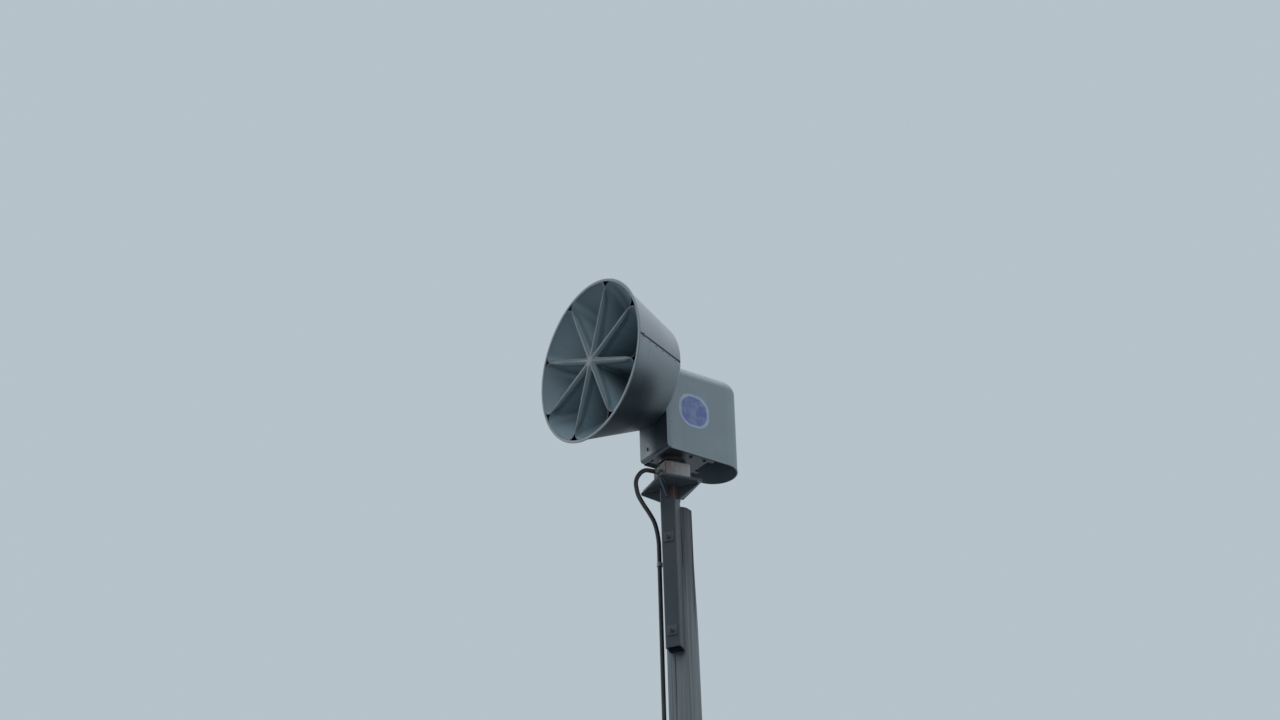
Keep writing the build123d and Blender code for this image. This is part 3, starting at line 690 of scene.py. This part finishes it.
# Front wall of the housing. A pressed sheet tray in satin grey paint: its lower edge is rolled
# in a wide radius, and its face carries the horn. A small black catch sits low on the face.
hood_low, hood_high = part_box("hood")
wall_low, wall_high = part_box("front_wall")
wall_round, wall_lower_round, wall_foot_round, wall_sheet = 0.012, 0.024, 0.008, 0.004
housing_round = 0.066


def edges_along(bm, axis, length):
    return [edge for edge in bm.edges if abs((edge.verts[0].co - edge.verts[1].co)[axis]) > length * 0.9]


def housing_finish(name):
    return weathered_paint(name, (0.172, 0.220, 0.246, 1), (0.25, 0.30, 0.33, 1), (0.10, 0.118, 0.125, 1),
                           roughness=0.32, runs=0.25)


# Where shade is painted on, the surface shines less: its shader's specular level falls as the share of
# painted shade grows.
def dull_where(finish, share, full_share, level):
    tree = finish.node_tree
    shine = ramp(tree, share, 0.0, full_share, 0.5, level)
    tree.links.new(shine, tree.nodes["Principled BSDF"].inputs["Specular IOR Level"])


housing_paint = housing_finish("housing_paint")
bm = bmesh.new()
size = wall_high - wall_low
bmesh.ops.create_cube(bm, size=1, matrix=Matrix.Translation((wall_low + wall_high) / 2)
                      @ Matrix.Diagonal((size.x, size.y, size.z, 1)))
upper = [edge for edge in edges_along(bm, 1, size.y) if edge.verts[0].co.z > wall_high.z - 0.001]
bevel_edges(bm, upper, housing_round, 14)
lower = [edge for edge in edges_along(bm, 1, size.y) if edge.verts[0].co.z < wall_low.z + 0.001]
bevel_edges(bm, lower, wall_foot_round, 4)
bmesh.ops.subdivide_edges(bm, edges=edges_along(bm, 1, size.y), cuts=11)
face = min(bm.faces, key=lambda item: item.calc_center_median().y)
bevel_edges(bm, list(face.edges), wall_round, 6, clamp_overlap=True)
for vert in bm.verts:
    deep = vert.co.y - wall_low.y
    if deep < wall_lower_round:
        fall = math.sqrt(max(0.0, wall_lower_round ** 2 - (wall_lower_round - deep) ** 2))
        vert.co.z = max(vert.co.z, wall_low.z + wall_lower_round - fall)
open_back = max(bm.faces, key=lambda item: item.calc_center_median().y)
bmesh.ops.delete(bm, geom=[open_back], context="FACES_ONLY")
bmesh.ops.recalc_face_normals(bm, faces=bm.faces)
bmesh.ops.solidify(bm, geom=list(bm.faces), thickness=wall_sheet)
# The face is darker towards its right side: a painted shadow of the horn.
wall_paint = housing_finish("wall_paint")
tree = wall_paint.node_tree
away, facing = from_mouth(tree)
horn_shadow_share = times(tree, ramp(tree, away["X"], -0.065, 0.035), ramp(tree, facing["Y"], -0.4, -0.8, 0.0, 0.80))
overlay(wall_paint, horn_shadow_share, (0.024, 0.034, 0.042, 1))
dull_where(wall_paint, horn_shadow_share, 0.9, 0.10)
tray = finish_piece(bm, "front_tray", "head", wall_paint, 35)
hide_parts("front_wall")

finish, tree, shader, place = new_finish("black_rubber")
grit = noise_at(tree, place, (300, 300, 300), 4)
tone = mix(tree, grit, (0.008, 0.008, 0.008, 1), (0.03, 0.03, 0.03, 1))
paint(tree, shader, tone, 0.7)
black_rubber = finish
catch_across, catch_down = -0.054, -0.402
catch_size, catch_height, catch_edge = (0.020, 0.008), 0.004, 0.0015
bm = bmesh.new()
place = seat((swivel.x + catch_across, wall_low.y, horn_axis_z + catch_down), (0, -1, 0))
square_plate(bm, place @ quarter_turn, catch_size, 0, catch_height, catch_edge)
finish_piece(bm, "wall_catch", "head", black_rubber)

# Hood. One deep pressing in satin grey paint, round at the back and open below, its lower edge
# rolled to a bead. It slips over the front wall and is held by screws along the joint.
bead_radius, hood_wall = 0.0035, 0.0035
half_width = (hood_high.x - hood_low.x) / 2 - hood_wall / 2
turn_y = hood_high.y - (hood_high.x - hood_low.x) / 2
# Inside, the hood is painted pale: painted light in the open hood.
hood_paint = housing_finish("hood_paint")
tree = hood_paint.node_tree
away, facing = from_mouth(tree)
past_turn = maths(tree, "MAXIMUM", maths(tree, "SUBTRACT", away["Y"], turn_y - mouth_y), 0.0)
outward = maths(tree, "ADD", times(tree, facing["X"], away["X"]), times(tree, facing["Y"], past_turn))
outward = maths(tree, "ADD", outward, times(tree, facing["Z"], maths(tree, "MAXIMUM", away["Z"], 0.0)))
overlay(hood_paint, maths(tree, "LESS_THAN", outward, -0.004), (0.30, 0.35, 0.39, 1))
coat("hood", hood_paint)
bm = bmesh.new()
start = (swivel.x + half_width, hood_low.y, hood_low.z)
ring = bmesh.ops.create_circle(bm, segments=12, radius=bead_radius, matrix=seat(start, (0, 1, 0)))["verts"]
edges = list({edge for vert in ring for edge in vert.link_edges})


def drawn(edges, vector):
    pulled = bmesh.ops.extrude_edge_only(bm, edges=edges)["geom"]
    verts = [item for item in pulled if isinstance(item, bmesh.types.BMVert)]
    bmesh.ops.translate(bm, verts=verts, vec=vector)
    return verts, [item for item in pulled if isinstance(item, bmesh.types.BMEdge)
                   and all(vert in verts for vert in item.verts)]


verts, edges = drawn(edges, (0, turn_y - hood_low.y, 0))
bent = bmesh.ops.spin(bm, geom=verts + edges, cent=(swivel.x, turn_y, hood_low.z), axis=(0, 0, 1),
                      angle=math.pi, steps=40, use_merge=False)["geom_last"]
edges = [item for item in bent if isinstance(item, bmesh.types.BMEdge)]
drawn(edges, (0, hood_low.y - turn_y, 0))
bmesh.ops.holes_fill(bm, edges=[edge for edge in bm.edges if edge.is_boundary], sides=0)
finish_piece(bm, "hood_hem", "head", housing_paint, 60)

screw_back, hood_screw = 0.010, (0.007, 0.0012, 0.0048, 0.0004)
side_screw_rows, top_screw_across = (-0.43, -0.30, -0.17, -0.04), 0.04
bm = bmesh.new()
for side in (-1, 1):
    for down in side_screw_rows:
        point = (hood_low.x if side < 0 else hood_high.x, hood_low.y + screw_back, horn_axis_z + down)
        capped_bolt(bm, seat(point, (side, 0, 0)), *hood_screw)
    point = (swivel.x + side * top_screw_across, hood_low.y + screw_back, hood_high.z)
    capped_bolt(bm, seat(point, (0, 0, 1)), *hood_screw)
finish_piece(bm, "hood_screws", "head", housing_paint)

# Sticker on the hood's right side. A plain blue film with a pale border, blank, faded by the sun
# and rubbed at its edge.
sticker_side, sticker_round, sticker_film = 0.202, 0.086, 0.0006
border_width = 0.017
sticker_y, sticker_z = swivel.y + 0.070, horn_axis_z - 0.196
for name, side, low, high, colour, second_tone in (
        ("sticker_border", sticker_side, -0.0002, sticker_film,
         (0.26, 0.33, 0.50, 1), (0.34, 0.40, 0.50, 1)),
        ("sticker_field", sticker_side - 2 * border_width, sticker_film, 2 * sticker_film,
         (0.070, 0.105, 0.30, 1), (0.17, 0.22, 0.37, 1))):
    finish, tree, shader, place = new_finish(name)
    fading = noise_at(tree, place, (16, 16, 16), 6, 0.65)
    scratches = noise_at(tree, place, (60, 240, 60), 5, 0.6)
    tone = mix(tree, ramp(tree, fading, 0.38, 0.66), colour, second_tone)
    tone = mix(tree, times(tree, ramp(tree, scratches, 0.62, 0.75), 0.5), tone, (0.30, 0.33, 0.36, 1))
    paint(tree, shader, tone, 0.4)
    relief(tree, shader, fading, 0.08, 0.0006)
    bm = bmesh.new()
    middle = Matrix.Translation((hood_high.x + (low + high) / 2, sticker_y, sticker_z))
    bmesh.ops.create_cube(bm, size=1, matrix=middle @ Matrix.Diagonal((high - low, side, side, 1)))
    bevel_edges(bm, edges_along(bm, 0, high - low), sticker_round * side / sticker_side, 12)
    finish_piece(bm, name, "head", finish, 30)

# Stator and chopper rotor. The stator is a drum in the throats' slate paint, and the rotor
# behind its ports is bare cast aluminium on the motor's shaft.
throat_colour = (0.22, 0.285, 0.320, 1)
throat_chalk_and_sky_light = (0.26, 0.31, 0.34, 1)
throat_grime_and_shade = (0.15, 0.195, 0.225, 1)
drum_paint = weathered_paint("drum_paint", throat_colour, throat_chalk_and_sky_light, throat_grime_and_shade,
                             roughness=0.4, runs=0.2)
coat("stator", drum_paint)
finish, tree, shader, place = new_finish("cast_aluminium")
grit = noise_at(tree, place, (160, 160, 160), 5)
tone = mix(tree, grit, (0.10, 0.10, 0.10, 1), (0.2, 0.2, 0.2, 1))
paint(tree, shader, tone, 0.5, metallic=0.7)
relief(tree, shader, grit, 0.2, 0.0006)
coat("rotor", finish)

# Throats. Eight moulded horns, side by side round a hub rod, in slate paint, their outer sides painted near
# black as painted shade in the cavities between them. Their front edges are filled and rounded into soft
# ridges. Deep inside, the paint darkens as painted shade, and streaks of grime run on it.
slice_turn = math.pi / 4


def off_horn_axis(tree, away):
    return maths(tree, "SQRT", maths(tree, "ADD", times(tree, away["X"], away["X"]),
                                     times(tree, away["Z"], away["Z"])))


# Above 0 on a surface that faces away from the horn's axis, below 0 on one that faces it.
def faces_out(tree, away, facing):
    return maths(tree, "ADD", times(tree, facing["X"], away["X"]), times(tree, facing["Z"], away["Z"]))


def throat_finish(name, shade_painted_outside):
    finish, tree, shader, place = new_finish(name)
    away, facing = from_mouth(tree)
    round_axis = maths(tree, "ARCTAN2", away["X"], away["Z"])
    off_axis = off_horn_axis(tree, away)
    # The ridges stand half a slice round from the throats' middles, eight to the turn.
    past_ridge = maths(tree, "FLOORED_MODULO", round_axis, slice_turn)
    past_ridge = maths(tree, "SUBTRACT", past_ridge, slice_turn / 2)
    ridge_gap = maths(tree, "ABSOLUTE", times(tree, maths(tree, "SINE", past_ridge), off_axis))
    cloudy = noise_at(tree, place, (7, 7, 7), 5)
    streaks = noise_at(tree, place, (30, 5, 30), 5)
    fine = noise_at(tree, place, (300, 300, 300), 3)
    # Painted shade: deeper inside the throat the paint leans to the grime tone.
    tone = mix(tree, ramp(tree, away["Y"], 0.06, 0.30), throat_colour, throat_grime_and_shade)
    tone = mix(tree, times(tree, ramp(tree, cloudy, 0.40, 0.70), 0.45), tone, throat_chalk_and_sky_light)
    tone = mix(tree, times(tree, ramp(tree, streaks, 0.52, 0.76), 0.30), tone, throat_grime_and_shade)
    # Painted shade: the ridges near the mouth, and the frontmost millimetre, are painted darker against the
    # light that falls on their noses.
    ridge = times(tree, ramp(tree, ridge_gap, 0.030, 0.008), ramp(tree, away["Y"], 0.060, 0.012))
    second_tone = mix(tree, ramp(tree, cloudy, 0.35, 0.65), (0.100, 0.145, 0.165, 1), (0.130, 0.185, 0.208, 1))
    tone = mix(tree, ridge, tone, second_tone)
    tone = mix(tree, maths(tree, "LESS_THAN", away["Y"], 0.0012), tone, (0.085, 0.110, 0.122, 1))
    # Painted shade: faces turned away from the throats' air are painted near black, for the dark cavities
    # between the throats.
    if shade_painted_outside:
        toward_rim = faces_out(tree, away, facing)
        toward_ridge = maths(tree, "SUBTRACT", times(tree, facing["Z"], away["X"]),
                             times(tree, facing["X"], away["Z"]))
        toward_ridge = times(tree, toward_ridge, maths(tree, "SIGN", past_ridge))
        turned_out = maths(tree, "DIVIDE", maths(tree, "MAXIMUM", toward_rim, toward_ridge), off_axis)
        outside = times(tree, maths(tree, "GREATER_THAN", turned_out, 0.15),
                        maths(tree, "GREATER_THAN", off_axis, 0.30))
        tone = mix(tree, outside, tone, (0.006, 0.007, 0.008, 1))
    paint(tree, shader, tone, ramp(tree, cloudy, 0.3, 0.7, 0.36, 0.55))
    relief(tree, shader, fine, 0.12, 0.0006)
    return finish


throat_paint = throat_finish("throat_paint", True)
ridge_paint = throat_finish("ridge_paint", False)
for number in range(8):
    coat(f"flute_{number + 1}", throat_paint)

# Ridge fillers: a rounded nose on each ridge, wide at the hub and dying out towards the rim.
nose_front, nose_back, nose_back_out = -0.0030, 0.074, 0.012
nose_inner, nose_outer, nose_end = 0.010, 0.250, 0.398
nose_radius_in, nose_radius_out, nose_radius_end = 0.0205, 0.0140, 0.0050
wall_at_mouth, wall_bend, wall_at_bend, wall_slope = 0.0026, 0.032, 0.0150, 0.085
hub_nose_radius, hub_nose_deep = 0.040, 0.070
hub_rod_radius, hub_rod_front, hub_rod_back = 0.0126, 0.020, 0.338
taper_start, end_taper, side_play = 0.05, 2.2, 0.0015


# How far the throats' inner walls stand from the ridge's middle at a depth.
def wall_gap(deep):
    if deep < wall_bend:
        return wall_at_mouth + (wall_at_bend - wall_at_mouth) * deep / wall_bend
    return wall_at_bend + wall_slope * (deep - wall_bend)


bm = bmesh.new()
for number in range(8):
    turn = math.radians(22.5 + 45 * number)
    outward = Vector((math.sin(turn), 0, math.cos(turn)))
    sideways = outward.cross(Vector((0, 1, 0)))
    place = seat(mouth + Vector((0, nose_back / 2, 0)), outward)
    already = len(bm.verts)
    verts = round_bar(bm, place, nose_back / 2, nose_inner, nose_end, 24)
    bmesh.ops.subdivide_edges(bm, edges=long_edges_of(verts, nose_end - nose_inner), cuts=40)
    bm.verts.ensure_lookup_table()
    for vert in bm.verts[already:]:
        away = vert.co - mouth
        along = away.dot(outward)
        share = min(1.0, max(0.0, (along - taper_start) / (nose_end - taper_start)))
        to_end = min(1.0, max(0.0, (nose_end - along) / (nose_end - nose_outer)))
        nose_radius = nose_radius_in + (nose_radius_out - nose_radius_in) * share
        nose_radius = nose_radius_end + (nose_radius - nose_radius_end) * min(1.0, to_end * end_taper)
        back = nose_back_out + (nose_back - nose_back_out) * to_end
        back_half_width = wall_gap(back) - side_play
        angle = math.atan2(away.dot(sideways), away.y - nose_back / 2)
        if abs(angle) > math.pi / 2:
            width = nose_radius * math.sin(abs(angle))
            deep = nose_front + nose_radius * (1 + math.cos(angle))
        else:
            flank = 1 - abs(angle) / (math.pi / 2)
            width = nose_radius + (back_half_width - nose_radius) * min(1.0, flank * 2)
            width *= 1.0 if flank < 0.5 else (1 - flank) * 2
            deep = nose_front + nose_radius + (back - nose_front - nose_radius) * min(1.0, flank * 2)
        vert.co = mouth + outward * along + sideways * math.copysign(width, angle) + Vector((0, deep, 0))
bmesh.ops.create_uvsphere(bm, u_segments=32, v_segments=16, radius=1, matrix=Matrix.Translation(
    mouth + Vector((0, nose_front + hub_nose_deep / 2, 0)))
    @ Matrix.Diagonal((hub_nose_radius, hub_nose_deep / 2, hub_nose_radius, 1)))
round_bar(bm, seat(mouth, (0, 1, 0)), hub_rod_radius, hub_rod_front, hub_rod_back, 32)
ridges = finish_piece(bm, "throat_ridges", "head", ridge_paint, 60)
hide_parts("hub_rod")
remesh = ridges.modifiers.new("joined", "REMESH")
remesh.mode = "VOXEL"
remesh.voxel_size = 0.0031
soften = ridges.modifiers.new("softened", "SMOOTH")
soften.factor = 0.5
soften.iterations = 6
joined = bpy.data.meshes.new_from_object(ridges.evaluated_get(bpy.context.evaluated_depsgraph_get()))
ridges.modifiers.clear()
ridges.data = joined
joined.shade_smooth()

# Horn shells and gaskets. Two halves of spun sheet in satin grey paint meet on a rubber strip at each side.
# Screws close to the seam hold them, a clip bridges it near the mouth, and the bottom is painted darker as
# painted shade.
horn_upper_paint = weathered_paint("horn_upper_paint", (0.275, 0.290, 0.320, 1), (0.345, 0.362, 0.398, 1),
                                   (0.15, 0.155, 0.16, 1), roughness=0.30, runs=0.22)
# The lower shell's copy of the paint darkens its downward faces far more, as painted shade.
horn_lower_paint = weathered_paint("horn_lower_paint", (0.285, 0.325, 0.350, 1), (0.34, 0.38, 0.405, 1),
                                   (0.020, 0.027, 0.032, 1), roughness=0.38, runs=0.20,
                                   under=0.95, shade_from=-0.52)
seam_drop = 0.028
for finish in (horn_upper_paint, horn_lower_paint):
    tree = finish.node_tree
    away, facing = from_mouth(tree)
    off_seam = maths(tree, "ABSOLUTE", maths(tree, "ADD", away["Z"], seam_drop))
    overlay(finish, times(tree, ramp(tree, off_seam, 0.0085, 0.0045), 0.9), (0.018, 0.020, 0.022, 1))
    # Painted shade: the shells' inner faces and front-facing faces are painted near black, for the dark
    # cavity behind the throats.
    cavity_shade = maths(tree, "MAXIMUM", maths(tree, "LESS_THAN", faces_out(tree, away, facing), -0.001),
                   maths(tree, "LESS_THAN", facing["Y"], -0.5))
    overlay(finish, cavity_shade, (0.012, 0.013, 0.014, 1))
# The lower shell's underside is painted darker still, most of it near the mouth: painted shade.
tree = horn_lower_paint.node_tree
away, facing = from_mouth(tree)
outside = maths(tree, "GREATER_THAN", faces_out(tree, away, facing), 0.0)
lowness = maths(tree, "DIVIDE", away["Z"], off_horn_axis(tree, away))
underside_shade = times(tree, ramp(tree, lowness, -0.28, -0.74), ramp(tree, away["Y"], 0.33, 0.10, 0.06, 0.95))
overlay(horn_lower_paint, times(tree, underside_shade, outside), (0.034, 0.048, 0.060, 1))
dull_where(horn_lower_paint, underside_shade, 0.6, 0.08)
coat("horn_shell_upper", horn_upper_paint)
coat("horn_shell_lower", horn_lower_paint)
coat("seam_gaskets", black_rubber)
clip_paint = weathered_paint("clip_paint", (0.10, 0.115, 0.125, 1), (0.15, 0.165, 0.175, 1),
                             (0.03, 0.03, 0.03, 1), roughness=0.4)

horn_radius = (lip_high.z - lip_low.z) / 2 - 0.010
lip_depth, horn_slope = 0.006, math.tan(math.radians(22.5))
seam_screw, screw_below_seam = (0.006, 0.0026, 0.0045, 0.0008), 0.012
seam_screw_rows = (0.105, 0.165, 0.225, 0.285, 0.345)
bm = bmesh.new()
for side in (-1, 1):
    for deep in seam_screw_rows:
        radius = horn_radius - (deep - lip_depth) * horn_slope
        down = -seam_drop - screw_below_seam
        out = Vector((side * math.sqrt(radius ** 2 - down ** 2), 0, down)) / radius
        point = mouth + out * radius + Vector((0, deep, 0))
        capped_bolt(bm, seat(point, out + Vector((0, horn_slope, 0))), *seam_screw)
finish_piece(bm, "seam_screws", "head", horn_lower_paint)

# Clips over the seam near the mouth: a short steel strip with a screw at each end.
latch_size, latch_height, latch_edge = (0.019, 0.013), 0.0028, 0.0008
latch_depth, latch_lift = 0.045, 0.0008
latch_screw, latch_screw_off = (0.005, 0.002, 0.0038, 0.0006), 0.006
latch_radius = horn_radius - (latch_depth - lip_depth) * horn_slope + latch_lift
bm = bmesh.new()
for side in (-1, 1):
    out = Vector((side, 0, 0))
    on_shell = mouth + out * latch_radius + Vector((0, latch_depth, -seam_drop))
    place = seat(on_shell, out + Vector((0, horn_slope, 0)))
    upward = place.to_3x3().transposed() @ Vector((0, 0, 1))
    place = place @ Matrix.Rotation(math.atan2(upward.y, upward.x), 4, "Z")
    square_plate(bm, place, latch_size, 0, latch_height, latch_edge)
    for off_seam in (-latch_screw_off, latch_screw_off):
        capped_bolt(bm, place @ Matrix.Translation((off_seam, 0, latch_height)), *latch_screw)
seam_latches = finish_piece(bm, "seam_latches", "head", clip_paint)
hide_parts("seam_clips")

# Lip. A spun ring with a rolled bead, in the same paint. The bead is chalked pale by the weather,
# and the flat inside it keeps the throats' dark tone.
lip_paint = weathered_paint("lip_paint", (0.20, 0.24, 0.262, 1), (0.27, 0.31, 0.33, 1),
                            (0.12, 0.14, 0.15, 1), roughness=0.4, runs=0.2)
tree = lip_paint.node_tree
off_axis = off_horn_axis(tree, from_mouth(tree)[0])
overlay(lip_paint, ramp(tree, off_axis, horn_radius + 0.004, horn_radius + 0.001), throat_grime_and_shade)
coat("horn_lip", lip_paint)
